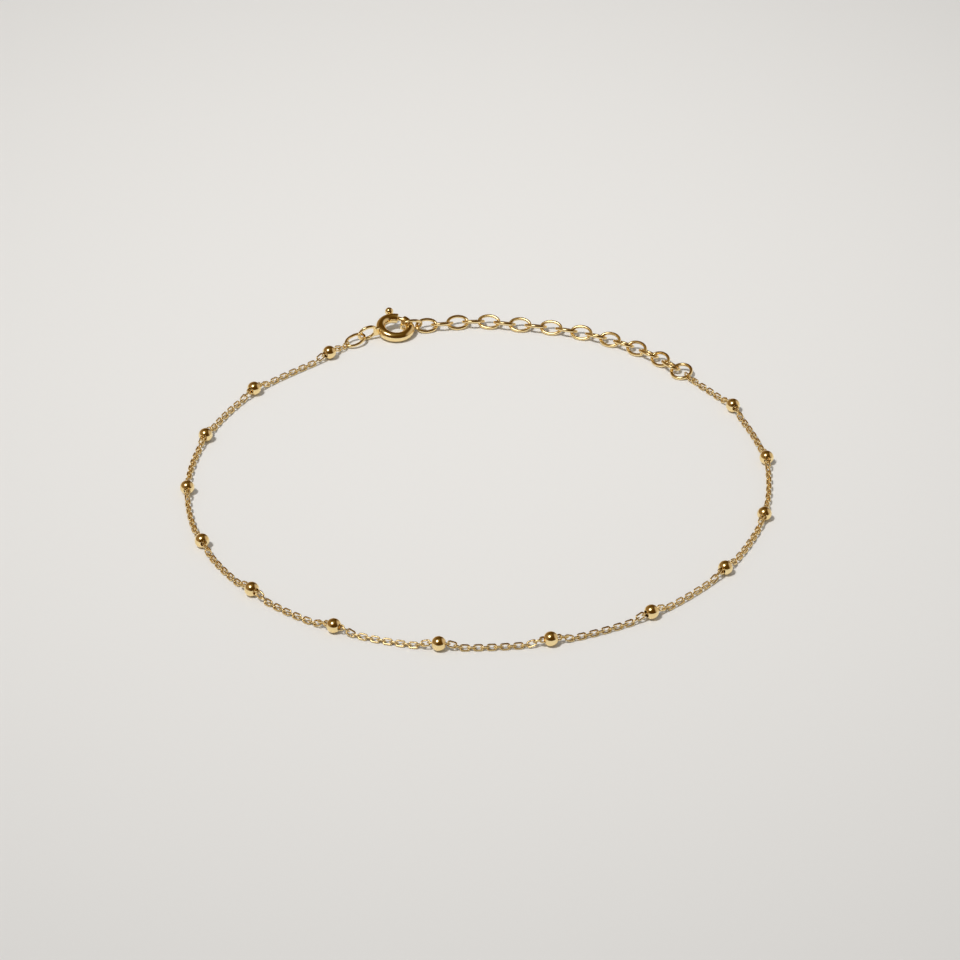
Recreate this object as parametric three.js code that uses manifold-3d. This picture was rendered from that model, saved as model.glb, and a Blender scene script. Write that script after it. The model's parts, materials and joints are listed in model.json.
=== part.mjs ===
// A chain anklet: a fine cable chain threaded through fourteen round beads, closed by a
// spring ring clasp that hooks into an extender of oval links.
// It lies on a flat surface as one open loop, clasp and extender at the back.
// Millimetres, +Z up, origin on the surface under the middle of the whole piece.

import * as THREE from 'three';
import { mergeVertices } from 'three/addons/utils/BufferGeometryUtils.js';
import Module from 'manifold-3d';

const wasm = await Module();
wasm.setup();

// ---------- driving dimensions ----------

const bead = { diameter: 1.9, bore: 0.92 };

// The tube that fills the envelope of the finest links, and the larger link at each end.
const fineChain = { diameter: 0.72, mouth: 0.95, landing: 3.0 };
const fineEndLink = { length: 1.4, width: 1.02, wire: 0.22 };

const extenderLink = { length: 3.35, width: 2.42, wire: 0.44 };
const extenderCount = 19;
const extenderPitch = 2.24;
const evenRoll = 33; // links lie on alternate sides of the chain
const oddRoll = -26;
const endRing = { length: 3.2, width: 3.2, wire: 0.45 };
const jumpRing = { length: 3.5, width: 2.4, wire: 0.4 };

// Angles round the clasp run counter-clockwise from the side that the extender hooks in.
const clasp = { radius: 2.06, tube: 1.36, bore: 0.82, gapFrom: 59, gapTo: 80, slot: 0.5 };
const bolt = { wire: 0.62, tip: 53, tail: 150, travel: 34, knobAt: 105, knob: 1.2, knobRadius: 3.53, stem: 0.36 };
const eye = { length: 3.0, width: 2.4, wire: 0.46, at: 202, radius: 4.2, slope: -22 };
const lug = { from: 2.5, to: 3.35, height: 1.5, thickness: 0.44 };

// Sides of the meshed rounds.
const beadSides = 14;
const beadArcSteps = 6;
const linkSides = 12;
const wireSides = 6;
const tubeSides = 12;
const tubeSteps = 40;
const boreSides = 10;
const chainSides = 8;
const lineSteps = 60; // steps in each stretch between beads when the line is measured

// ---------- where the pieces lie ----------

// The loop that the beads lie on: a circle drawn out a little along one direction, in degrees.
const loop = { x: 0.3, y: -1.6, radius: 39.75, oval: 1.4, ovalAt: 80 };

// The beads run round it from the jump ring to the extender. The first is this far round from
// the back of the loop, and they lie closest after the fifth, where the chain is gathered.
const beadRow = { count: 14, first: 22.4, pitch: 14.2, gathered: 0.5, closest: 5 };

// The middles of the fine chain's two end links, hooked in the jump ring and the end ring.
const firstHook = { x: -18.37, y: 35.27, z: 0.49, heading: 46 };
const lastHook = { x: 29.11, y: 26.35, z: 0.49, heading: 138 };

// The line that the joints of the extender's links lie along, from the clasp's tube to the end
// ring. It bends once beyond the clasp and again at the right.
const extenderLine = [
  { x: -10.4, y: 39.8 },
  { x: -5, y: 41.1 },
  { x: 0.5, y: 41.9 },
  { x: 5, y: 41 },
  { x: 9.2, y: 40.3 },
  { x: 14.5, y: 38.6 },
  { x: 18.5, y: 36.6 },
  { x: 22.2, y: 34 },
  { x: 25.4, y: 30.9 },
  { x: 28.1, y: 27.4 },
];
const extenderHeight = 0.78;

// The first link is held up round the clasp's tube.
const firstLink = { height: 1.14, roll: -66 };

const claspPlace = { x: -11.54, y: 39.23, z: 1.19, tiltBack: 12, tiltLeft: 5.5 };
const jumpRingPlace = { x: -17.12, y: 36.42, z: 0.72, heading: 44, slope: 10, roll: 5 };
const endRingPlace = { x: 28.3, y: 27.48, z: 0.66, heading: -10.5, slope: 5.3, roll: 15.8 };

// ---------- materials ----------

function gold(name, roughness) {
  return new THREE.MeshStandardMaterial({ name, color: 0xd8a848, metalness: 1, roughness });
}

// ---------- curves and sections ----------

const radians = THREE.MathUtils.degToRad;

// A closed ellipse in the XY plane, long axis along X.
class EllipsePath extends THREE.Curve {
  constructor(halfLength, halfWidth) {
    super();
    this.halfLength = halfLength;
    this.halfWidth = halfWidth;
  }

  getPoint(t, target = new THREE.Vector3()) {
    const angle = 2 * Math.PI * t;
    return target.set(this.halfLength * Math.cos(angle), this.halfWidth * Math.sin(angle), 0);
  }
}

// An arc of a circle round Z, from one angle to another in degrees.
class ArcPath extends THREE.Curve {
  constructor(radius, from, to) {
    super();
    this.radius = radius;
    this.from = radians(from);
    this.to = radians(to);
  }

  getPoint(t, target = new THREE.Vector3()) {
    const angle = THREE.MathUtils.lerp(this.from, this.to, t);
    return target.set(this.radius * Math.cos(angle), this.radius * Math.sin(angle), 0);
  }
}

// The loop of the beads, run from its back and over the left side.
class LoopPath extends THREE.Curve {
  getPoint(t, target = new THREE.Vector3()) {
    const angle = 2 * Math.PI * (t + 0.25);
    const radius = loop.radius + loop.oval * Math.cos(2 * (angle - radians(loop.ovalAt)));
    return target.set(loop.x + radius * Math.cos(angle), loop.y + radius * Math.sin(angle), 0);
  }
}

// A smooth line through stations, which a sweep steps along from station to station.
class StationPath extends THREE.CatmullRomCurve3 {
  getPointAt(u, target) {
    return this.getPoint(u, target);
  }

  getTangentAt(u, target) {
    return this.getTangent(u, target);
  }
}

// A regular polygon with a flat, not a corner, at each side of the X and Y axes.
function polygon(diameter, sides) {
  const corners = [];
  for (let i = 0; i < sides; i += 1) {
    const angle = (2 * Math.PI * (i + 0.5)) / sides;
    corners.push(new THREE.Vector2(Math.cos(angle), Math.sin(angle)).multiplyScalar(diameter / 2));
  }
  return corners;
}

// ---------- shapes ----------

// An oval ring of round wire, lying in the XY plane with its long axis along X.
function wireOval({ length, width, wire }, sides = linkSides) {
  const path = new EllipsePath((length - wire) / 2, (width - wire) / 2);
  return new THREE.TubeGeometry(path, sides, wire / 2, wireSides, true);
}

// A ball with a round hole through it along Y.
function drilledBall() {
  const radius = bead.diameter / 2;
  const mouth = Math.asin(bead.bore / bead.diameter);
  const profile = [];
  for (let i = 0; i <= beadArcSteps; i += 1) {
    const angle = THREE.MathUtils.lerp(mouth, Math.PI - mouth, i / beadArcSteps);
    profile.push(new THREE.Vector2(radius * Math.sin(angle), -radius * Math.cos(angle)));
  }
  profile.push(profile[0].clone());
  return new THREE.LatheGeometry(profile, beadSides);
}

function sweep(section, path, steps) {
  return new THREE.ExtrudeGeometry(section, { extrudePath: path, steps });
}

// ---------- joining and cutting ----------

function toSolid(geometry) {
  const bare = geometry.clone();
  bare.deleteAttribute('normal');
  bare.deleteAttribute('uv');
  const merged = mergeVertices(bare, 1e-4);
  const triVerts = new Uint32Array(merged.index.array);
  const vertProperties = new Float32Array(merged.attributes.position.array);
  return new wasm.Manifold(new wasm.Mesh({ numProp: 3, vertProperties, triVerts }));
}

function toGeometry(solid) {
  const { vertProperties, triVerts } = solid.getMesh();
  const geometry = new THREE.BufferGeometry();
  geometry.setAttribute('position', new THREE.BufferAttribute(new Float32Array(vertProperties), 3));
  geometry.setIndex(new THREE.BufferAttribute(new Uint32Array(triVerts), 1));
  geometry.computeVertexNormals();
  return geometry;
}

// ---------- placing ----------

// Turns a piece about its own long axis, then tips that axis up, then points it in the plan.
function place(piece, { x, y, z, heading = 0, slope = 0, roll = 0 }) {
  piece.position.set(x, y, z);
  piece.rotation.set(radians(roll), -radians(slope), radians(heading), 'ZYX');
  return piece;
}

// Lays a piece with its middle halfway between two points and its long axis along them.
function placeBetween(piece, a, b, roll) {
  const middle = a.clone().lerp(b, 0.5);
  const heading = THREE.MathUtils.radToDeg(Math.atan2(b.y - a.y, b.x - a.x));
  return place(piece, { x: middle.x, y: middle.y, z: middle.z, heading, roll });
}

const atHeight = (point, z) => new THREE.Vector3(point.x, point.y, z);
const numbered = (name, number) => `${name}_${String(number).padStart(2, '0')}`;

// ---------- clasp ----------

// The hollow tube bent to an open ring, with a slot in its outer side for the knob's stem,
// and the upright eye soldered to it on a flat lug.
function makeClaspRing() {
  const section = new THREE.Shape(polygon(clasp.tube, tubeSides));
  section.holes.push(new THREE.Path(polygon(clasp.bore, boreSides)));
  const path = new ArcPath(clasp.radius, clasp.gapTo, clasp.gapFrom + 360);
  const tube = toSolid(sweep(section, path, tubeSteps));

  const eyeRing = wireOval(eye);
  eyeRing.rotateX(Math.PI / 2);
  eyeRing.rotateY(-radians(eye.slope));
  eyeRing.translate(eye.radius, 0, 0);
  eyeRing.rotateZ(radians(eye.at));

  const lugPlate = new THREE.BoxGeometry(lug.to - lug.from, lug.thickness, lug.height);
  lugPlate.translate((lug.from + lug.to) / 2, 0, 0);
  lugPlate.rotateZ(radians(eye.at));

  const solid = tube.subtract(toSolid(slotCutter())).add(toSolid(lugPlate)).add(toSolid(eyeRing));
  return new THREE.Mesh(toGeometry(solid), gold('polished', 0.12));
}

// The sector that the stem sweeps, from inside the bore to outside the tube.
function slotCutter() {
  const margin = radians(7.5);
  const inner = clasp.radius + clasp.bore / 4;
  const outer = clasp.radius + clasp.tube;
  const from = radians(bolt.knobAt) - margin;
  const to = radians(bolt.knobAt + bolt.travel) + margin;
  const sector = new THREE.Shape();
  sector.absarc(0, 0, outer, from, to, false);
  sector.absarc(0, 0, inner, to, from, true);
  const cutter = new THREE.ExtrudeGeometry(sector, { depth: clasp.slot, bevelEnabled: false, curveSegments: 6 });
  return cutter.translate(0, 0, -clasp.slot / 2);
}

// The curved wire that closes the gap, with its stem and ball knob.
function makeClaspBolt() {
  const wire = sweep(new THREE.Shape(polygon(bolt.wire, chainSides)), new ArcPath(clasp.radius, bolt.tip, bolt.tail), 12);
  const stemLength = bolt.knobRadius - clasp.radius;
  const stem = new THREE.CylinderGeometry(bolt.stem / 2, bolt.stem / 2, stemLength, chainSides);
  stem.rotateZ(Math.PI / 2);
  stem.translate(clasp.radius + stemLength / 2, 0, 0);
  stem.rotateZ(radians(bolt.knobAt));
  const knob = new THREE.SphereGeometry(bolt.knob / 2, 12, 8);
  knob.translate(bolt.knobRadius, 0, 0);
  knob.rotateZ(radians(bolt.knobAt));
  const solid = toSolid(wire).add(toSolid(stem)).add(toSolid(knob));
  return new THREE.Mesh(toGeometry(solid), gold('polished', 0.12));
}

function makeClasp() {
  const group = new THREE.Group();
  const ring = makeClaspRing();
  ring.name = 'clasp_ring';
  const slider = makeClaspBolt();
  slider.name = 'clasp_bolt';
  group.add(ring, slider);
  group.position.set(claspPlace.x, claspPlace.y, claspPlace.z);
  group.rotation.set(radians(claspPlace.tiltBack), radians(claspPlace.tiltLeft), 0);
  return group;
}

// ---------- extender ----------

// Past the uneven links, each lies to the other side of the chain from the one before.
function makeExtender() {
  const group = new THREE.Group();
  const line = new THREE.CatmullRomCurve3(extenderLine.map((spot) => atHeight(spot, extenderHeight)));
  const jointAt = (joint) => line.getPointAt((joint * extenderPitch) / line.getLength());
  for (let number = 1; number <= extenderCount; number += 1) {
    const link = new THREE.Mesh(wireOval(extenderLink), gold('wire', 0.2));
    link.name = numbered('extender_link', number);
    const alternate = number % 2 ? oddRoll : evenRoll;
    placeBetween(link, jointAt(number - 1), jointAt(number), number === 1 ? firstLink.roll : alternate);
    if (number === 1) link.position.z = firstLink.height;
    group.add(link);
  }
  const ring = new THREE.Mesh(wireOval(endRing), gold('wire', 0.2));
  ring.name = 'extender_ring';
  group.add(place(ring, endRingPlace));
  return group;
}

// ---------- beads and fine chain ----------

// Where each bead lies: the length of chain to the next one grows with a cosine away from
// the gathered place.
function placesOfBeads() {
  const path = new LoopPath();
  path.arcLengthDivisions = lineSteps * beadRow.count;
  const round = path.getLength();
  const spots = [];
  let along = beadRow.first;
  for (let i = 0; i < beadRow.count; i += 1) {
    spots.push(path.getPointAt(along / round));
    const away = (2 * Math.PI * (i + 0.5 - beadRow.closest)) / beadRow.count;
    along += beadRow.pitch - beadRow.gathered * Math.cos(away);
  }
  return spots;
}

// The line of the fine chain in plan, through the beads, with the distance to each bead.
function chainLine() {
  const spots = placesOfBeads();
  const places = [firstHook, ...spots, lastHook];
  const line = new THREE.CatmullRomCurve3(places.map((spot) => new THREE.Vector3(spot.x, spot.y, 0)));
  line.arcLengthDivisions = lineSteps * (places.length - 1);
  const lengths = line.getLengths();
  const beadsAt = spots.map((_, index) => lengths[lineSteps * (index + 1)]);
  return { line, spots, beadsAt, length: line.getLength() };
}

function makeBeads({ line, spots, beadsAt, length }) {
  const group = new THREE.Group();
  spots.forEach((spot, index) => {
    const ball = new THREE.Mesh(drilledBall(), gold('polished', 0.1));
    ball.name = numbered('bead', index + 1);
    const along = line.getTangentAt(beadsAt[index] / length);
    ball.position.set(spot.x, spot.y, bead.diameter / 2);
    ball.rotation.z = Math.atan2(along.y, along.x) - Math.PI / 2;
    group.add(ball);
  });
  return group;
}

// The fine chain runs level through each bead, comes down to the surface beyond it and
// lies there half way to the next. Its two end links stand upright in the rings they join.
function makeFineChain({ line, beadsAt, length }) {
  const { diameter, mouth, landing } = fineChain;
  const rest = (diameter / 2) * Math.cos(Math.PI / chainSides);
  const hung = bead.diameter / 2;
  const inEndLink = fineEndLink.length / 2 - fineEndLink.wire;
  const stations = [];
  const station = (distance, z) => stations.push(line.getPointAt(distance / length).setZ(z));
  station(inEndLink, firstHook.z);
  beadsAt.forEach((beadAt, index) => {
    const next = beadsAt[index + 1] ?? length;
    if (index > 0) station(beadAt - landing, rest);
    station(beadAt - mouth, hung);
    station(beadAt + mouth, hung);
    station(beadAt + landing, rest);
    station(THREE.MathUtils.lerp(beadAt, next, 0.5), rest);
  });
  station(length - inEndLink, lastHook.z);
  const path = new StationPath(stations, false, 'catmullrom');
  const tube = toSolid(sweep(new THREE.Shape(polygon(diameter, chainSides)), path, stations.length - 1));
  const solid = tube.add(endLink(firstHook)).add(endLink(lastHook));
  const chain = new THREE.Mesh(toGeometry(solid), gold('fine', 0.25));
  chain.name = 'fine_chain';
  return chain;
}

function endLink(hook) {
  const link = place(new THREE.Object3D(), { ...hook, roll: 90 });
  link.updateMatrix();
  return toSolid(wireOval(fineEndLink, 10).applyMatrix4(link.matrix));
}

function makeJumpRing() {
  const ring = new THREE.Mesh(wireOval(jumpRing), gold('wire', 0.2));
  ring.name = 'jump_ring';
  return place(ring, jumpRingPlace);
}

const chain = chainLine();

export default new THREE.Group().add(
  makeClasp(),
  makeJumpRing(),
  makeExtender(),
  makeBeads(chain),
  makeFineChain(chain),
);
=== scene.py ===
import json
import math
import bpy
import numpy as np
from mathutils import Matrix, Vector


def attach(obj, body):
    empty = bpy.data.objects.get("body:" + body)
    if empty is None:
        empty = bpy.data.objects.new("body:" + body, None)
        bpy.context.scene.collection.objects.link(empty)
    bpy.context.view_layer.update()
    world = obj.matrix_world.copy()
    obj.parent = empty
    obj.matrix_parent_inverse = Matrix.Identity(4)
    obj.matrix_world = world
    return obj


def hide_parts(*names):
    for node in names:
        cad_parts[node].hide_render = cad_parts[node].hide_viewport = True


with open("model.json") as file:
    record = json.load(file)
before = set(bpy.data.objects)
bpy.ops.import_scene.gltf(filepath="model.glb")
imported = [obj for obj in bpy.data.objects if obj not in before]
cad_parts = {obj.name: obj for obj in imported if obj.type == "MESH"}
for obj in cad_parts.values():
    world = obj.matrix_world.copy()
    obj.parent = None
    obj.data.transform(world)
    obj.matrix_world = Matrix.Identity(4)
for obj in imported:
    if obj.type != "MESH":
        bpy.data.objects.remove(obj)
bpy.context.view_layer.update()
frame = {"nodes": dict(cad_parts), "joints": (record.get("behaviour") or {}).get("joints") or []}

mm = 0.001

# ---------- camera, floor and light ----------

camera = {
    "lens": 150,
    "sensor": 36,
    "distance": 0.5297,
    "elevation": 30.5,
    "target": (0.00041, -0.00107, 0.0),
}
floor = {
    "size": 4.0,
    "below": 0.00001,      # how far under the piece it lies
    "color": (0.818, 0.812, 0.797),
    # painted light: the floor's colour is a painted pool of light, brightest here and fading towards its
    # least level
    "paintedLightAt": (-0.0102, 0.0487),
    "paintedLightFade": (3.42, 2.50),
    "paintedLightLeast": 0.7,
    "roughness": 0.6,
    "specular": 0.2,
}
light = {
    "keyStrength": 2.36,
    "keyAzimuth": 225.0,   # where it stands, counter-clockwise from +X
    "keyElevation": 61.5,
    "keyAngle": 8.0,
    "color": (1.0, 0.985, 0.965),
    "fill": 0.355,
    "backdrop": (0.79, 0.775, 0.745, 1),
}

# What the metal mirrors: the room's colours by height, and glows. A glow is the azimuth and
# elevation it stands at, and colours by the degrees away from there.
mirrored = {
    "room": [(0.0, (0.075, 0.036, 0.005)), (0.6, (0.08, 0.038, 0.005)),
             (0.9, (0.10, 0.052, 0.008)), (1.0, (0.20, 0.14, 0.05))],
    "lampAzimuth": 222.0,
    "lampLevel": 5.5,
    "lampWidth": 9.0,
    # colours by the degrees outside the lamp's own width
    "halo": [(23, (0, 0, 0)), (12, (0.13, 0.11, 0.06)), (5, (0.42, 0.36, 0.26))],
    "panel": (184, 58, [(28, (0, 0, 0)), (10, (0.18, 0.15, 0.10))]),
    "window": (18, 12, [(44, (0, 0, 0)), (24, (0.50, 0.45, 0.38))]),
    "band": (158, 0, [(84, (0, 0, 0)), (50, (0.24, 0.17, 0.09))]),
    "bandHeight": [(0.0, (1, 1, 1)), (0.55, (0.7, 0.7, 0.7)), (0.75, (0, 0, 0))],
}


def aimObject(obj, location, target):
    direction = np.array(target, float) - np.array(location, float)
    obj.rotation_mode = "QUATERNION"
    obj.location = location
    obj.rotation_quaternion = Vector(direction).to_track_quat("-Z", "Y")


def directionOf(azimuth, elevation):
    a, e = math.radians(azimuth), math.radians(elevation)
    return np.array([math.cos(a) * math.cos(e), math.sin(a) * math.cos(e), math.sin(e)])


def addCamera():
    data = bpy.data.cameras.new("camera")
    data.lens = camera["lens"]
    data.sensor_width = camera["sensor"]
    data.clip_start = 0.01
    obj = bpy.data.objects.new("camera", data)
    bpy.context.collection.objects.link(obj)
    back = directionOf(-90, camera["elevation"])
    target = np.array(camera["target"])
    aimObject(obj, tuple(target + back * camera["distance"]), tuple(target))
    bpy.context.scene.camera = obj


# ---------- node helpers ----------

def newMaterial(name):
    material = bpy.data.materials.new(name)
    material.use_nodes = True
    tree = material.node_tree
    return material, tree, tree.nodes["Principled BSDF"]


def addNode(tree, kind, inputs=None, **settings):
    node = tree.nodes.new(kind)
    for key, value in settings.items():
        setattr(node, key, value)
    for key, value in (inputs or {}).items():
        if isinstance(value, bpy.types.NodeSocket):
            tree.links.new(value, node.inputs[key])
        else:
            node.inputs[key].default_value = value
    return node


def addRamp(tree, factor, stops, easing="LINEAR"):
    node = addNode(tree, "ShaderNodeValToRGB", {"Fac": factor})
    node.color_ramp.interpolation = easing
    elements = node.color_ramp.elements
    while len(elements) < len(stops):
        elements.new(0.5)
    for element, (position, color) in zip(elements, stops):
        element.position = position
        element.color = (*color, 1) if len(color) == 3 else color
    return node.outputs["Color"]


def addFloor():
    mesh = bpy.data.meshes.new("floor")
    half = floor["size"] / 2
    z = -floor["below"]
    corners = [(-half, -half, z), (half, -half, z), (half, half, z), (-half, half, z)]
    mesh.from_pydata(corners, [], [(0, 1, 2, 3)])
    obj = bpy.data.objects.new("floor", mesh)
    bpy.context.collection.objects.link(obj)
    material, tree, shader = newMaterial("paleFloor")
    coordinates = addNode(tree, "ShaderNodeTexCoord").outputs["Object"]
    # painted light: the floor's colour carries a painted pool of light, falling off with the square of the
    # scaled distance from its brightest place
    x, y = floor["paintedLightAt"]
    paintedLightFade = (*floor["paintedLightFade"], 1)
    moved = addNode(tree, "ShaderNodeVectorMath", {0: coordinates, 1: (-x, -y, 0)},
                    operation="ADD").outputs[0]
    scaled = addNode(tree, "ShaderNodeVectorMath", {0: moved, 1: paintedLightFade}, operation="MULTIPLY").outputs[0]
    distance = addNode(tree, "ShaderNodeVectorMath", {0: scaled}, operation="LENGTH").outputs["Value"]
    paintedLightLoss = addNode(tree, "ShaderNodeMath", {0: distance, 1: 2.0}, operation="POWER").outputs[0]
    level = addNode(tree, "ShaderNodeMath", {0: 1.0, 1: paintedLightLoss}, operation="SUBTRACT").outputs[0]
    level = addNode(tree, "ShaderNodeMath", {0: level, 1: floor["paintedLightLeast"]}, operation="MAXIMUM").outputs[0]
    color = addNode(tree, "ShaderNodeVectorMath", {0: floor["color"], "Scale": level},
                    operation="SCALE").outputs[0]
    tree.links.new(color, shader.inputs["Base Color"])
    shader.inputs["Roughness"].default_value = floor["roughness"]
    shader.inputs["Specular IOR Level"].default_value = floor["specular"]
    mesh.materials.append(material)


def addKey():
    data = bpy.data.lights.new("key", "SUN")
    data.energy = light["keyStrength"]
    data.angle = math.radians(light["keyAngle"])
    data.color = light["color"]
    obj = bpy.data.objects.new("key", data)
    bpy.context.collection.objects.link(obj)
    toLight = directionOf(light["keyAzimuth"], light["keyElevation"])
    aimObject(obj, tuple(toLight), (0, 0, 0))
    obj.visible_glossy = False


def addStudio():
    # The metal mirrors a warm dark room: a soft lamp with a glow round it, a pale window on
    # the right and a pale band low down along the far and left sides. What lights the floor
    # is an even fill.
    world = bpy.data.worlds.new("studio")
    bpy.context.scene.world = world
    world.use_nodes = True
    tree = world.node_tree
    tree.nodes.clear()
    direction = addNode(tree, "ShaderNodeTexCoord").outputs["Generated"]
    parts = addNode(tree, "ShaderNodeSeparateXYZ", {0: direction}).outputs
    lit = addRamp(tree, parts["Z"], mirrored["room"])

    def glow(azimuth, elevation, stops):
        toward = tuple(directionOf(azimuth, elevation))
        near = addNode(tree, "ShaderNodeVectorMath", {0: direction, 1: toward}, operation="DOT_PRODUCT")
        spots = [(math.cos(math.radians(angle)), color) for angle, color in stops]
        return addRamp(tree, near.outputs["Value"], [(0.0, (0, 0, 0))] + spots)

    level, wide = mirrored["lampLevel"], mirrored["lampWidth"]
    halo = [(wide + outside, color) for outside, color in mirrored["halo"]]
    lamp = glow(mirrored["lampAzimuth"], light["keyElevation"], halo + [(wide, (level, level, level))])
    panel = glow(*mirrored["panel"])
    window = glow(*mirrored["window"])
    bandHeight = addRamp(tree, parts["Z"], mirrored["bandHeight"])
    band = glow(*mirrored["band"])
    band = addNode(tree, "ShaderNodeMixRGB", {"Fac": 1.0, "Color1": band, "Color2": bandHeight},
                   blend_type="MULTIPLY").outputs[0]
    for extra in (lamp, panel, window, band):
        lit = addNode(tree, "ShaderNodeMixRGB", {"Fac": 1.0, "Color1": lit, "Color2": extra},
                      blend_type="ADD").outputs[0]
    seen = addNode(tree, "ShaderNodeBackground", {"Color": lit, "Strength": 1.0}).outputs[0]
    fill = {"Color": (*light["color"], 1), "Strength": light["fill"]}
    even = addNode(tree, "ShaderNodeBackground", fill).outputs[0]
    behind = {"Color": light["backdrop"], "Strength": 1.0}
    backdrop = addNode(tree, "ShaderNodeBackground", behind).outputs[0]
    rays = addNode(tree, "ShaderNodeLightPath").outputs
    mixed = addNode(tree, "ShaderNodeMixShader", {0: rays["Is Glossy Ray"], 1: even, 2: seen}).outputs[0]
    mixed = addNode(tree, "ShaderNodeMixShader", {0: rays["Is Camera Ray"], 1: mixed, 2: backdrop}).outputs[0]
    output = addNode(tree, "ShaderNodeOutputWorld")
    tree.links.new(mixed, output.inputs["Surface"])


addCamera()
addFloor()
addKey()
addStudio()
bpy.context.scene.view_settings.view_transform = "Standard"
print("camera, floor and light ready")

# ---------- gold ----------

gold = {
    "color": (1.0, 0.81, 0.45),
    "deepColor": (0.97, 0.75, 0.37),
    "polishedRoughness": 0.05,
    "wireRoughness": 0.08,
    "fineRoughness": 0.12,
    "polishedClouds": 0.0009,   # sizes of the colour clouds
    "wireClouds": 0.0006,
    "fineClouds": 0.0004,
    "hairlines": 0.05,
    "hairlineScale": 9000.0,
    "hairlineDepth": 0.000005,
    "hairlineStretch": (1, 0.12, 1),
    "hairlineTurn": (0.3, 0.2, 0.5),
}


def makeGold(name, roughness, cloudSize):
    material, tree, shader = newMaterial(name)
    coordinates = addNode(tree, "ShaderNodeTexCoord").outputs["Object"]
    clouds = addNode(tree, "ShaderNodeTexNoise", {
        "Vector": coordinates, "Scale": 1 / cloudSize, "Detail": 3.0}).outputs["Fac"]
    color = addRamp(tree, clouds, [(0.3, gold["deepColor"]), (0.65, gold["color"])])
    tree.links.new(color, shader.inputs["Base Color"])
    spread = addNode(tree, "ShaderNodeMapRange", {
        "Value": clouds, "From Min": 0.3, "From Max": 0.7,
        "To Min": roughness * 1.5, "To Max": roughness * 0.7}).outputs[0]
    tree.links.new(spread, shader.inputs["Roughness"])
    # hairlines left by polishing
    stretched = addNode(tree, "ShaderNodeMapping", {
        "Vector": coordinates, "Scale": gold["hairlineStretch"], "Rotation": gold["hairlineTurn"]}).outputs[0]
    lines = addNode(tree, "ShaderNodeTexNoise", {
        "Vector": stretched, "Scale": gold["hairlineScale"], "Detail": 2.0}).outputs["Fac"]
    bump = addNode(tree, "ShaderNodeBump", {
        "Height": lines, "Strength": gold["hairlines"], "Distance": gold["hairlineDepth"]}).outputs[0]
    tree.links.new(bump, shader.inputs["Normal"])
    shader.inputs["Metallic"].default_value = 1.0
    return material


polishedGold = makeGold("polishedGold", gold["polishedRoughness"], gold["polishedClouds"])
wireGold = makeGold("wireGold", gold["wireRoughness"], gold["wireClouds"])
fineGold = makeGold("fineGold", gold["fineRoughness"], gold["fineClouds"])
print("gold ready")

# ---------- surfaces ----------


def closedGrid(points):
    # A rows x columns grid that closes on itself both ways, as quads.
    rows, columns = points.shape[:2]
    i, j = np.meshgrid(np.arange(rows), np.arange(columns), indexing="ij")
    nextI, nextJ = (i + 1) % rows, (j + 1) % columns
    quads = np.stack([i * columns + j, nextI * columns + j, nextI * columns + nextJ, i * columns + nextJ], -1)
    return points.reshape(-1, 3), quads.reshape(-1, 4), np.zeros((0, 3), int)


def cappedGrid(points, startPole, endPole):
    # A grid closed along its columns, whose first and last rows meet in a pole each.
    rows, columns = points.shape[:2]
    i, j = np.meshgrid(np.arange(rows - 1), np.arange(columns), indexing="ij")
    nextJ = (j + 1) % columns
    row, nextRow = i * columns, (i + 1) * columns
    quads = np.stack([row + j, nextRow + j, nextRow + nextJ, row + nextJ], -1)
    count = rows * columns
    around = np.arange(columns)
    ahead = (around + 1) % columns
    last = (rows - 1) * columns
    triangles = np.concatenate([
        np.stack([np.full(columns, count), around, ahead], -1),
        np.stack([np.full(columns, count + 1), last + ahead, last + around], -1)])
    allPoints = np.concatenate([points.reshape(-1, 3), [startPole, endPole]])
    return allPoints, quads.reshape(-1, 4), triangles


def signedVolume(points, quads, triangles):
    faces = np.concatenate([quads[:, [0, 1, 2]], quads[:, [0, 2, 3]], triangles])
    a, b, c = (points[faces[:, k]] for k in range(3))
    return np.einsum("ij,ij->i", a, np.cross(b, c)).sum() / 6


def outward(surface):
    points, quads, triangles = surface
    if signedVolume(points - points.mean(0), quads, triangles) < 0:
        quads, triangles = quads[:, ::-1], triangles[:, ::-1]
    return points, quads, triangles


def addPiece(name, surfaces, material, body, nodes, sharpAngle=None):
    # Surfaces are joined as loose shells of one mesh, in metres, with faces turned outward.
    mesh = bpy.data.meshes.new(name)
    points, faces, offset = [], [], 0
    for surface in surfaces:
        shellPoints, quads, triangles = outward(surface)
        points.append(shellPoints)
        faces += (quads + offset).tolist() + (triangles + offset).tolist()
        offset += len(shellPoints)
    mesh.from_pydata(np.concatenate(points).tolist(), [], faces)
    mesh.validate()
    mesh.polygons.foreach_set("use_smooth", np.ones(len(mesh.polygons), bool))
    if sharpAngle is not None:
        mesh.set_sharp_from_angle(angle=math.radians(sharpAngle))
    mesh.materials.append(material)
    obj = bpy.data.objects.new(name, mesh)
    bpy.context.collection.objects.link(obj)
    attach(obj, body)
    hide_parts(*nodes)
    return obj


def nodePoints(name):
    mesh = frame["nodes"][name].data
    points = np.empty(len(mesh.vertices) * 3)
    mesh.vertices.foreach_get("co", points)
    return np.unique(np.round(points.reshape(-1, 3), 7), axis=0)


def nodeAxes(name):
    # The middle of a node, and its long, middle and short directions as columns.
    points = nodePoints(name)
    middle = points.mean(0)
    _, _, axes = np.linalg.svd(points - middle, full_matrices=False)
    axes[2] = np.cross(axes[0], axes[1])
    return middle, axes.T


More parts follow.
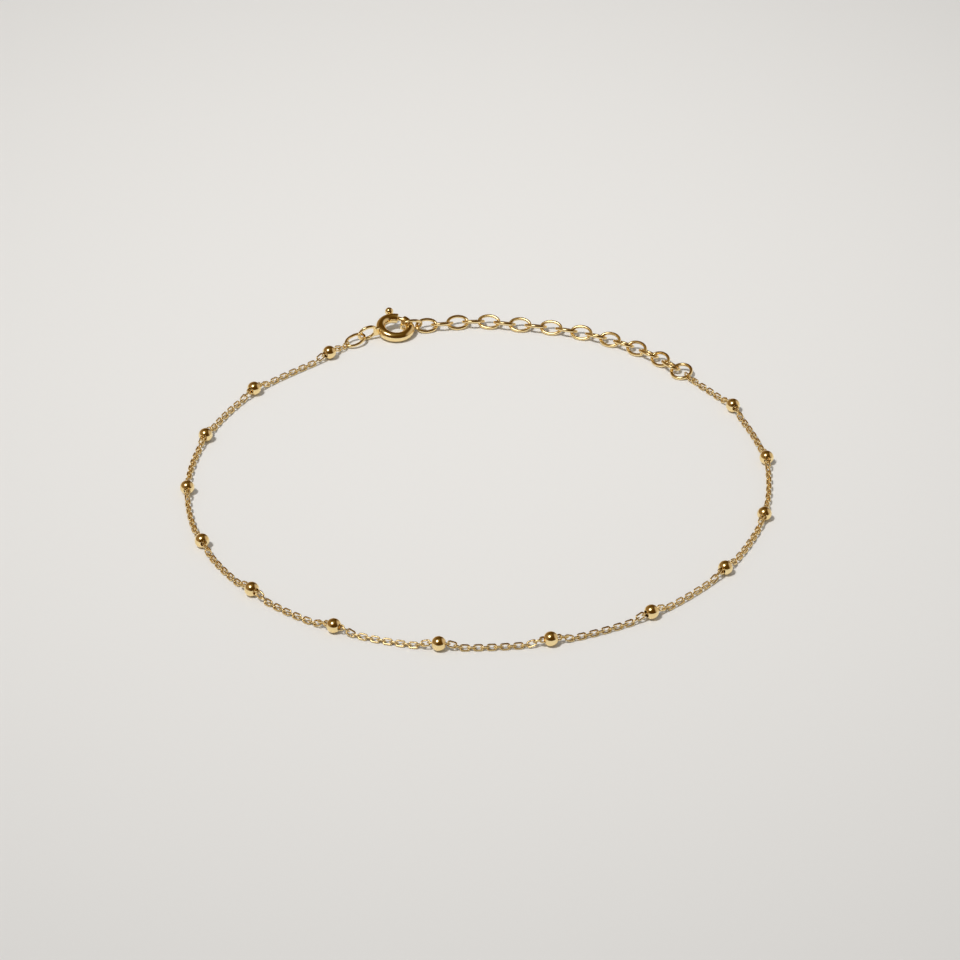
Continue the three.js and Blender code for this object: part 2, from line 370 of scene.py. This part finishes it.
def ovalSurface(dims, steps, sides, middle, axes, power=2.0):
    # A section of wire carried round an ellipse: at each step it stands on the ellipse's own
    # outward normal and the ring's axis. The section is a superellipse of the given power.
    rx, ry = (dims["length"] - dims["wire"]) / 2 * mm, (dims["width"] - dims["wire"]) / 2 * mm
    t = np.linspace(0, 2 * np.pi, steps, endpoint=False)[:, None]
    u = np.linspace(0, 2 * np.pi, sides, endpoint=False)[None, :]
    scale = np.hypot(ry * np.cos(t), rx * np.sin(t))
    nx, ny = ry * np.cos(t) / scale, rx * np.sin(t) / scale
    r = dims["wire"] / 2 * mm
    out = r * np.sign(np.cos(u)) * np.abs(np.cos(u)) ** (2 / power)
    up = r * np.sign(np.sin(u)) * np.abs(np.sin(u)) ** (2 / power)
    local = np.stack(np.broadcast_arrays(
        rx * np.cos(t) + out * nx, ry * np.sin(t) + out * ny, up), -1)
    return closedGrid(local @ axes.T + middle)


# ---------- extender and rings ----------

links = {
    "extenderLink": {"length": 3.32, "width": 2.39, "wire": 0.43},
    "endRing": {"length": 3.2, "width": 3.2, "wire": 0.45},
    "jumpRing": {"length": 3.5, "width": 2.4, "wire": 0.4},
    "steps": 56,
    "wireSides": 20,
    "squareness": 2.2,
    "count": 19,
}


def addLinks():
    wanted = [("extender_link_%02d" % n, links["extenderLink"]) for n in range(1, links["count"] + 1)]
    wanted += [("extender_ring", links["endRing"]), ("jump_ring", links["jumpRing"])]
    for node, dims in wanted:
        middle, axes = nodeAxes(node)
        surface = ovalSurface(dims, links["steps"], links["wireSides"], middle, axes, links["squareness"])
        addPiece(node + "_wire", [surface], wireGold, "anklet", [node])


addLinks()
print("extender links, end ring and jump ring made")

# ---------- beads ----------

beads = {
    "count": 14, "diameter": 1.9, "bore": 0.88, "lip": 0.03,
    "around": 48, "arcSteps": 26, "lipSteps": 4, "boreSteps": 3,
}


def beadProfile():
    # Half the ball's section as a closed line of (radius, height): the outer arc, a rounded
    # lip, the bore's wall and the other lip.
    radius, bore, lip = beads["diameter"] / 2, beads["bore"] / 2, beads["lip"]
    lipRadius = bore + lip
    lipHeight = math.sqrt((radius - lip) ** 2 - lipRadius ** 2)
    mouth = math.atan2(lipRadius, lipHeight)
    arc = np.linspace(mouth, np.pi - mouth, beads["arcSteps"])
    outer = np.stack([radius * np.sin(arc), radius * np.cos(arc)], -1)
    turn = np.linspace(mouth, -np.pi / 2, beads["lipSteps"] + 2)[1:]
    lower = np.stack([lipRadius + lip * np.sin(turn), -lipHeight - lip * np.cos(turn)], -1)
    rise = np.linspace(-lipHeight, lipHeight, beads["boreSteps"] + 2)[1:-1]
    wall = np.stack([np.full(beads["boreSteps"], bore), rise], -1)
    upper = lower[::-1] * [1, -1]
    return np.concatenate([outer, lower, wall, upper])


def addBeads(axesOfBeads):
    profile = beadProfile()
    angle = np.linspace(0, 2 * np.pi, beads["around"], endpoint=False)
    for number, (middle, along) in enumerate(axesOfBeads, 1):
        side = np.cross(along, [0, 0, 1])
        side /= np.linalg.norm(side)
        up = np.cross(side, along)
        ringDirection = np.cos(angle)[:, None] * side + np.sin(angle)[:, None] * up
        points = profile[:, 0][:, None, None] * ringDirection[None] + profile[:, 1][:, None, None] * along
        surface = closedGrid(points * mm + middle)
        node = "bead_%02d" % number
        addPiece(node + "_ball", [surface], polishedGold, "anklet", [node], sharpAngle=60)


# ---------- fine chain ----------

fineChain = {
    "firstHook": (-18.37, 35.27, 0.49),
    "lastHook": (29.11, 26.35, 0.49),
    "linksPerBead": 17,
    "pitch": 0.84,
    "slack": 0.02,
    "width": 0.89,
    "widthInBead": 0.84,   # clears the beads' bores
    "wire": 0.22,
    "corner": 0.2,
    "endLength": 1.4,
    "endWidth": 0.98,
    "rest": 0.39,
    "hang": 0.95,
    "mouth": 1.15,
    "landing": 3.1,
    "turnIn": 4.0,         # links in which the end links' turn gives way to the common one
    "besideBead": 1.2,     # links within so many pitches of a bead have the width for it
    "hookReach": 2.0,      # length in which the chain comes to its end link's height
    "routeSteps": 120,
    "probe": 0.2,          # a bead's direction is taken this far to each side of it
    "straighten": 0.25,    # how far a stretch on the right lies towards the straight line
    "firstStraight": 8,    # those stretches, counted from the clasp: the first
    "lastStraight": 13,    # and the last
}


def curveThrough(places, steps):
    # Centripetal Catmull-Rom: between two places, six straight blends weighted by the square
    # roots of the distances; the end tangents come from places mirrored in the ends. On the
    # right, each tangent is then turned part of the way to the line between its two places.
    padded = np.concatenate([[2 * places[0] - places[1]], places, [2 * places[-1] - places[-2]]])
    t = np.linspace(0, 1, steps, endpoint=False)[:, None]
    pieces = []
    for stretch in range(len(places) - 1):
        p0, p1, p2, p3 = padded[stretch:stretch + 4]
        onRight = fineChain["firstStraight"] <= stretch <= fineChain["lastStraight"]
        ease = fineChain["straighten"] if onRight else 0
        d0, d1, d2 = (math.sqrt(np.linalg.norm(b - a)) for a, b in ((p0, p1), (p1, p2), (p2, p3)))
        m1 = ((p1 - p0) / d0 - (p2 - p0) / (d0 + d1) + (p2 - p1) / d1) * d1
        m2 = ((p2 - p1) / d1 - (p3 - p1) / (d1 + d2) + (p3 - p2) / d2) * d1
        m1 = m1 + ease * (p2 - p1 - m1)
        m2 = m2 + ease * (p2 - p1 - m2)
        c2 = -3 * p1 + 3 * p2 - 2 * m1 - m2
        c3 = 2 * p1 - 2 * p2 + m1 + m2
        pieces.append(p1 + m1 * t + c2 * t ** 2 + c3 * t ** 3)
    return np.concatenate(pieces + [places[-1:]])


def smoothStep(x):
    x = np.clip(x, 0, 1)
    return x * x * (3 - 2 * x)


def chainRoute():
    # The chain's line in plan through the hooks and beads, and its height: level through a
    # bead, and down in a smooth step to the surface beyond it.
    middles = [nodePoints("bead_%02d" % n).mean(0) / mm for n in range(1, beads["count"] + 1)]
    ends = [np.array(fineChain["firstHook"]), np.array(fineChain["lastHook"])]
    places = np.array([ends[0]] + middles + [ends[1]])
    places[:, 2] = 0
    steps = fineChain["routeSteps"]
    line = curveThrough(places, steps)
    lengths = lengthsAlong(line)
    beadRows = steps * np.arange(1, beads["count"] + 1)
    away = np.abs(lengths[:, None] - lengths[beadRows][None]).min(1)
    drop = smoothStep((away - fineChain["mouth"]) / (fineChain["landing"] - fineChain["mouth"]))
    height = fineChain["hang"] + (fineChain["rest"] - fineChain["hang"]) * drop
    for at, hook in ((0, ends[0]), (lengths[-1], ends[1])):
        near = 1 - smoothStep(np.abs(lengths - at) / fineChain["hookReach"])
        height = height + (hook[2] - height) * near
    line[:, 2] = height
    return line, lengthsAlong(line)[beadRows]


def lengthsAlong(line):
    return np.concatenate([[0], np.cumsum(np.linalg.norm(np.diff(line, axis=0), axis=1))])


def pointsAt(line, distances):
    return np.stack([np.interp(distances, lengthsAlong(line), line[:, k]) for k in range(3)], -1)


def linkShape(length, width):
    # One cut link about the origin, long axis X: a rounded rectangle with three points to a
    # corner, and on it a wire of five sides, the broadest one facing outward.
    wire, corner = fineChain["wire"], fineChain["corner"]
    angle = np.radians([5, 45, 85, 95, 135, 175, 185, 225, 265, 275, 315, 355])
    normal = np.stack([np.cos(angle), np.sin(angle)], -1)
    reach = np.array([(length - wire) / 2 - corner, (width - wire) / 2 - corner])
    middle = np.sign(normal) * reach + normal * corner
    out, up = np.array([(1.0, 0.6), (1.0, -0.6), (-0.25, -1.0), (-1.0, 0.0), (-0.25, 1.0)]).T * wire / 2
    points = np.empty((len(angle), len(out), 3))
    points[..., :2] = middle[:, None] + normal[:, None] * out[:, None]
    points[..., 2] = up
    return points


def linkPlaces(total, beadAt):
    # Distances along the route: an equal number of links from bead to bead, and an even
    # pitch from the outer beads to the end links.
    endStep = (fineChain["endLength"] - 2 * fineChain["wire"] + fineChain["pitch"]) / 2
    fromBead = np.arange(len(beadAt) * fineChain["linksPerBead"]) / fineChain["linksPerBead"]
    between = np.interp(fromBead[fromBead <= len(beadAt) - 1], np.arange(len(beadAt)), beadAt)
    before = beadAt[0] - endStep
    after = total - beadAt[-1] - endStep
    first = np.linspace(endStep, beadAt[0], int(round(before / fineChain["pitch"])) + 1)[:-1]
    last = np.linspace(beadAt[-1], total - endStep, int(round(after / fineChain["pitch"])) + 1)[1:]
    return np.concatenate([[0], first, between, last, [total]])


def addFineChain():
    line, beadAt = chainRoute()
    total = lengthsAlong(line)[-1]
    at = linkPlaces(total, beadAt)
    half = fineChain["pitch"] / 2
    middles = pointsAt(line, at)
    along = pointsAt(line, np.minimum(at + half, total)) - pointsAt(line, np.maximum(at - half, 0))
    along[[0, -1], 2] = 0
    along /= np.linalg.norm(along, axis=1)[:, None]
    side = np.cross([0, 0, 1], along)
    side /= np.linalg.norm(side, axis=1)[:, None]
    up = np.cross(along, side)
    # each link is a quarter turn on from the last; the end links stand upright
    index = np.arange(len(at))
    fromEnd = np.minimum(index, len(at) - 1 - index)
    turn = np.pi / 2 * (index + 1) + np.pi / 4 * smoothStep(fromEnd / fineChain["turnIn"])
    across = np.cos(turn)[:, None] * side + np.sin(turn)[:, None] * up
    face = np.cross(along, across)
    gaps = np.diff(at)
    reach = np.concatenate([[0], (gaps[1:] + gaps[:-1]) / 2, [0]])
    length = reach + 2 * fineChain["wire"] + fineChain["slack"]
    length[[0, -1]] = fineChain["endLength"]
    fromBead = np.abs(at[:, None] - beadAt[None]).min(1)
    nearBead = fromBead < fineChain["besideBead"] * fineChain["pitch"]
    width = np.where(nearBead, fineChain["widthInBead"], fineChain["width"])
    width[[0, -1]] = fineChain["endWidth"]
    shapes = np.stack([linkShape(*size) for size in zip(length, width)])
    directions = np.stack([along, across, face], 1)
    points = middles[:, None, None] + np.einsum("nijk,nkl->nijl", shapes, directions)
    # a link that would dip under the surface is lifted onto it
    points[..., 2] += np.maximum(-points[..., 2].min((1, 2)), 0)[:, None, None]
    surfaces = [closedGrid(link * mm) for link in points]
    addPiece("fine_chain_links", surfaces, fineGold, "anklet", ["fine_chain"])
    print("fine chain:", len(at), "links, lowest", round(points[..., 2].min(), 3), "mm")
    return line, beadAt


chainLine, beadDistances = addFineChain()
probe = fineChain["probe"]
aheadOfBeads = pointsAt(chainLine, beadDistances + probe) - pointsAt(chainLine, beadDistances - probe)
aheadOfBeads[:, 2] = 0
aheadOfBeads /= np.linalg.norm(aheadOfBeads, axis=1)[:, None]
beadMiddles = [nodePoints("bead_%02d" % n).mean(0) for n in range(1, beads["count"] + 1)]
addBeads(list(zip(beadMiddles, aheadOfBeads)))
print("beads made")

# ---------- clasp ----------

clasp = {
    "radius": 2.06, "tube": 1.36, "bore": 0.82, "gapFrom": 59, "gapTo": 80,
    "slotHeight": 0.5, "slotMargin": 7.5,
    # steps along the tube before, in and after the slot, and round it in and beside the slot
    "beforeSlot": 5, "inSlot": 17, "afterSlot": 96, "acrossSlot": 6, "besideSlot": 35,
    "boltWire": 0.60, "tip": 53, "tail": 150, "travel": 34,
    "knobAt": 105, "knob": 1.2, "knobRadius": 3.53, "knobFrom": 3.3, "stem": 0.36,
    "eyeLength": 3.0, "eyeWidth": 2.4, "eyeWire": 0.46, "eyeAt": 202, "eyeRadius": 4.2, "eyeSlope": -22,
    "eyeSteps": 56, "eyeSides": 18,
    "lugFrom": 2.42, "lugTo": 3.3, "lugHeight": 1.46, "lugThickness": 0.42,
    "solder": 0.35, "solderReach": 0.16,   # how much fuller a bar is at the tube, and how far out
}


def claspAxes():
    # The clasp's own directions: angle 0, angle 90 and its axis, found from the bolt's hinge
    # and from where the knob stands.
    joint = frame["joints"][0]
    centre = np.array(joint["pos_m"], float)
    axis = np.array(joint["axis"], float)
    axis /= np.linalg.norm(axis)
    points = nodePoints("clasp_bolt") - centre
    flat = points - np.outer(points @ axis, axis)
    knob = flat[np.linalg.norm(flat, axis=1) > clasp["knobFrom"] * mm].mean(0)
    knob /= np.linalg.norm(knob)
    a = math.radians(clasp["knobAt"])
    across = np.cross(axis, knob)
    zero = math.cos(a) * knob - math.sin(a) * across
    return centre, np.stack([zero, np.cross(axis, zero), axis], 1)


def inClasp(points, place):
    centre, axes = place
    return points * mm @ axes.T + centre


def tubeSurface(place):
    # The wall's section along the tube, outer skin, rounded lip, inner skin, lip, is one
    # closed line; it is carried round the tube's circle, and the slot's cells are left out.
    outer, bore = clasp["tube"] / 2, clasp["bore"] / 2
    slotFrom = clasp["knobAt"] - clasp["slotMargin"]
    slotTo = clasp["knobAt"] + clasp["travel"] + clasp["slotMargin"]
    start, end = clasp["gapTo"], clasp["gapFrom"] + 360
    arc = np.concatenate([
        np.linspace(start, slotFrom, clasp["beforeSlot"])[:-1],
        np.linspace(slotFrom, slotTo, clasp["inSlot"])[:-1],
        np.linspace(slotTo, end, clasp["afterSlot"])])
    slotRows = clasp["beforeSlot"] - 1 + np.arange(clasp["inSlot"] - 1)
    lip = np.linspace(0, np.pi, 8)[1:-1]
    wall = (outer - bore) / 2
    lipArc = np.degrees(wall * np.sin(lip) / clasp["radius"])
    inset = np.degrees(wall / clasp["radius"])
    theta = np.concatenate([arc, end - inset + lipArc, arc[::-1], start + inset - lipArc])
    theta[[len(arc) - 1, len(arc) + len(lip)]] = end - inset
    theta[[0, 2 * len(arc) + len(lip) - 1]] = start + inset
    radius = np.concatenate([np.full(len(arc), outer), outer - wall + wall * np.cos(lip),
                             np.full(len(arc), bore), bore + wall - wall * np.cos(lip)])
    halfOuter = math.degrees(math.asin(clasp["slotHeight"] / 2 / outer))
    halfInner = math.degrees(math.asin(clasp["slotHeight"] / 2 / bore))
    across = clasp["acrossSlot"]
    phiOuter, phiInner = (np.concatenate([
        np.linspace(-half, half, across + 1)[:-1],
        np.linspace(half, 360 - half, clasp["besideSlot"])[:-1]]) for half in (halfOuter, halfInner))
    blend = ((outer - radius) / (outer - bore))[:, None]
    phi = np.radians(phiOuter[None] * (1 - blend) + phiInner[None] * blend)
    angle = np.radians(theta)[:, None]
    ringRadius = clasp["radius"] + radius[:, None] * np.cos(phi)
    height = radius[:, None] * np.sin(phi)
    points = np.stack([ringRadius * np.cos(angle), ringRadius * np.sin(angle), height], -1)
    flat, quads, triangles = closedGrid(points)
    rows, columns = points.shape[:2]
    innerStart = len(arc) + len(lip)
    innerOf = innerStart + len(arc) - 1 - np.arange(len(arc))   # the inner row behind each outer row
    row = np.repeat(np.arange(rows), columns)
    column = np.tile(np.arange(columns), rows)
    inSlot = column < across
    outerCell = np.isin(row, slotRows) & inSlot
    innerCell = np.isin(row, innerOf[slotRows] - 1) & inSlot
    quads = quads[~(outerCell | innerCell)]
    first, last = slotRows[0], slotRows[-1] + 1
    loop = [(first, c) for c in range(across + 1)] + [(r, across) for r in range(first + 1, last + 1)]
    loop += [(last, c) for c in range(across - 1, -1, -1)] + [(r, 0) for r in range(last - 1, first, -1)]
    loop = np.array(loop)
    onOuter = loop[:, 0] * columns + loop[:, 1]
    onInner = innerOf[loop[:, 0]] * columns + loop[:, 1]
    walls = np.stack([onOuter, np.roll(onOuter, -1), np.roll(onInner, -1), onInner], -1)
    # the walls' turn has to agree with the skin round the hole
    walls = walls[:, ::-1] if not sharesTurn(quads, walls) else walls
    return inClasp(flat, place), np.concatenate([quads, walls]), triangles


def sharesTurn(quads, walls):
    # Two faces turned the same way run along their common edge in opposite directions.
    edge = (walls[0, 0], walls[0, 1])
    following = np.roll(quads, -1, axis=1)
    return not ((quads == edge[0]) & (following == edge[1])).any()


def roundedBar(length0, length1, half, thick, place, heading, power=4.0):
    # A plate along the clasp's radius: each section is a superellipse of the given power,
    # a little fuller where solder joins it to the tube, and the ends are drawn in.
    s = np.concatenate([[0.0, 0.02, 0.06], np.linspace(0.12, 0.88, 12), [0.94, 0.98, 1.0]])
    r = length0 + (length1 - length0) * s
    draw = np.sqrt(np.clip(1 - (np.abs(s - 0.5) * 2) ** 14, 0.02, 1))
    fillet = 1 + clasp["solder"] * np.exp(-((r - length0) / clasp["solderReach"]) ** 2)
    angle = np.linspace(0, 2 * np.pi, 32, endpoint=False)
    c, q = np.cos(angle), np.sin(angle)
    width = thick * np.sign(c) * np.abs(c) ** (2 / power)
    height = half * np.sign(q) * np.abs(q) ** (2 / power)
    points = np.stack(np.broadcast_arrays(
        r[:, None], width[None] * (draw * fillet)[:, None], height[None] * draw[:, None]), -1)
    a = math.radians(heading)
    turn = np.array([[math.cos(a), math.sin(a), 0], [-math.sin(a), math.cos(a), 0], [0, 0, 1]])
    poles = np.array([[length0, 0, 0], [length1, 0, 0]]) @ turn
    return cappedGrid(inClasp(points @ turn, place), *inClasp(poles, place))


def eyePlace(place):
    centre, axes = place
    a, slope = math.radians(clasp["eyeAt"]), math.radians(-clasp["eyeSlope"])
    radial = np.array([math.cos(a), math.sin(a), 0])
    up = np.array([0, 0, 1])
    along = math.cos(slope) * radial - math.sin(slope) * up
    across = math.sin(slope) * radial + math.cos(slope) * up
    local = np.stack([along, across, np.cross(along, across)], 1)
    return inClasp(radial * clasp["eyeRadius"], place), axes @ local


def boltSurfaces(place):
    # The bolt's wire is a circle carried along the clasp's own arc, with domed ends; the stem
    # is a round bar and the knob a ball on its end.
    r = clasp["boltWire"] / 2
    dome = np.linspace(0, np.pi / 2, 7)[1:]
    inset = np.degrees(r * (1 - np.cos(dome)) / clasp["radius"])
    middle = np.linspace(clasp["tip"] + inset[-1], clasp["tail"] - inset[-1], 40)[1:-1]
    theta = np.concatenate([clasp["tip"] + inset, middle, clasp["tail"] - inset[::-1]])
    sizes = np.concatenate([r * np.sin(dome), np.full(len(middle), r), r * np.sin(dome[::-1])])
    phi = np.linspace(0, 2 * np.pi, 20, endpoint=False)
    angle = np.radians(theta)[:, None]
    ringRadius = clasp["radius"] + sizes[:, None] * np.cos(phi)
    wire = np.stack([
        ringRadius * np.cos(angle), ringRadius * np.sin(angle), sizes[:, None] * np.sin(phi)], -1)
    tips = np.radians([clasp["tip"], clasp["tail"]])
    poles = np.stack([clasp["radius"] * np.cos(tips), clasp["radius"] * np.sin(tips), 0 * tips], -1)
    shells = [cappedGrid(inClasp(wire, place), *inClasp(poles, place))]
    stem = clasp["stem"] / 2
    shells.append(roundedBar(clasp["radius"] - 0.1, clasp["knobRadius"] - 0.3, stem, stem,
                             place, clasp["knobAt"], power=2.0))
    a = math.radians(clasp["knobAt"])
    knobCentre = np.array([math.cos(a), math.sin(a), 0]) * clasp["knobRadius"]
    polar = np.linspace(0, np.pi, 22)[1:-1][:, None]
    ball = np.stack(np.broadcast_arrays(
        np.sin(polar) * np.cos(phi), np.sin(polar) * np.sin(phi), np.cos(polar)), -1)
    knob = ball * clasp["knob"] / 2 + knobCentre
    ends = knobCentre + np.array([[0, 0, 1], [0, 0, -1]]) * clasp["knob"] / 2
    shells.append(cappedGrid(inClasp(knob, place), *inClasp(ends, place)))
    return shells


def addClasp():
    place = claspAxes()
    eyeDims = {"length": clasp["eyeLength"], "width": clasp["eyeWidth"], "wire": clasp["eyeWire"]}
    eyeMiddle, eyeAxes = eyePlace(place)
    eye = ovalSurface(eyeDims, clasp["eyeSteps"], clasp["eyeSides"], eyeMiddle, eyeAxes)
    lug = roundedBar(clasp["lugFrom"], clasp["lugTo"], clasp["lugHeight"] / 2, clasp["lugThickness"] / 2,
                     place, clasp["eyeAt"])
    addPiece("clasp_ring_tube", [tubeSurface(place), eye, lug], polishedGold, "anklet",
             ["clasp_ring"], sharpAngle=50)
    addPiece("clasp_bolt_wire", boltSurfaces(place), polishedGold, "bolt",
             ["clasp_bolt"], sharpAngle=60)


addClasp()
print("clasp made")
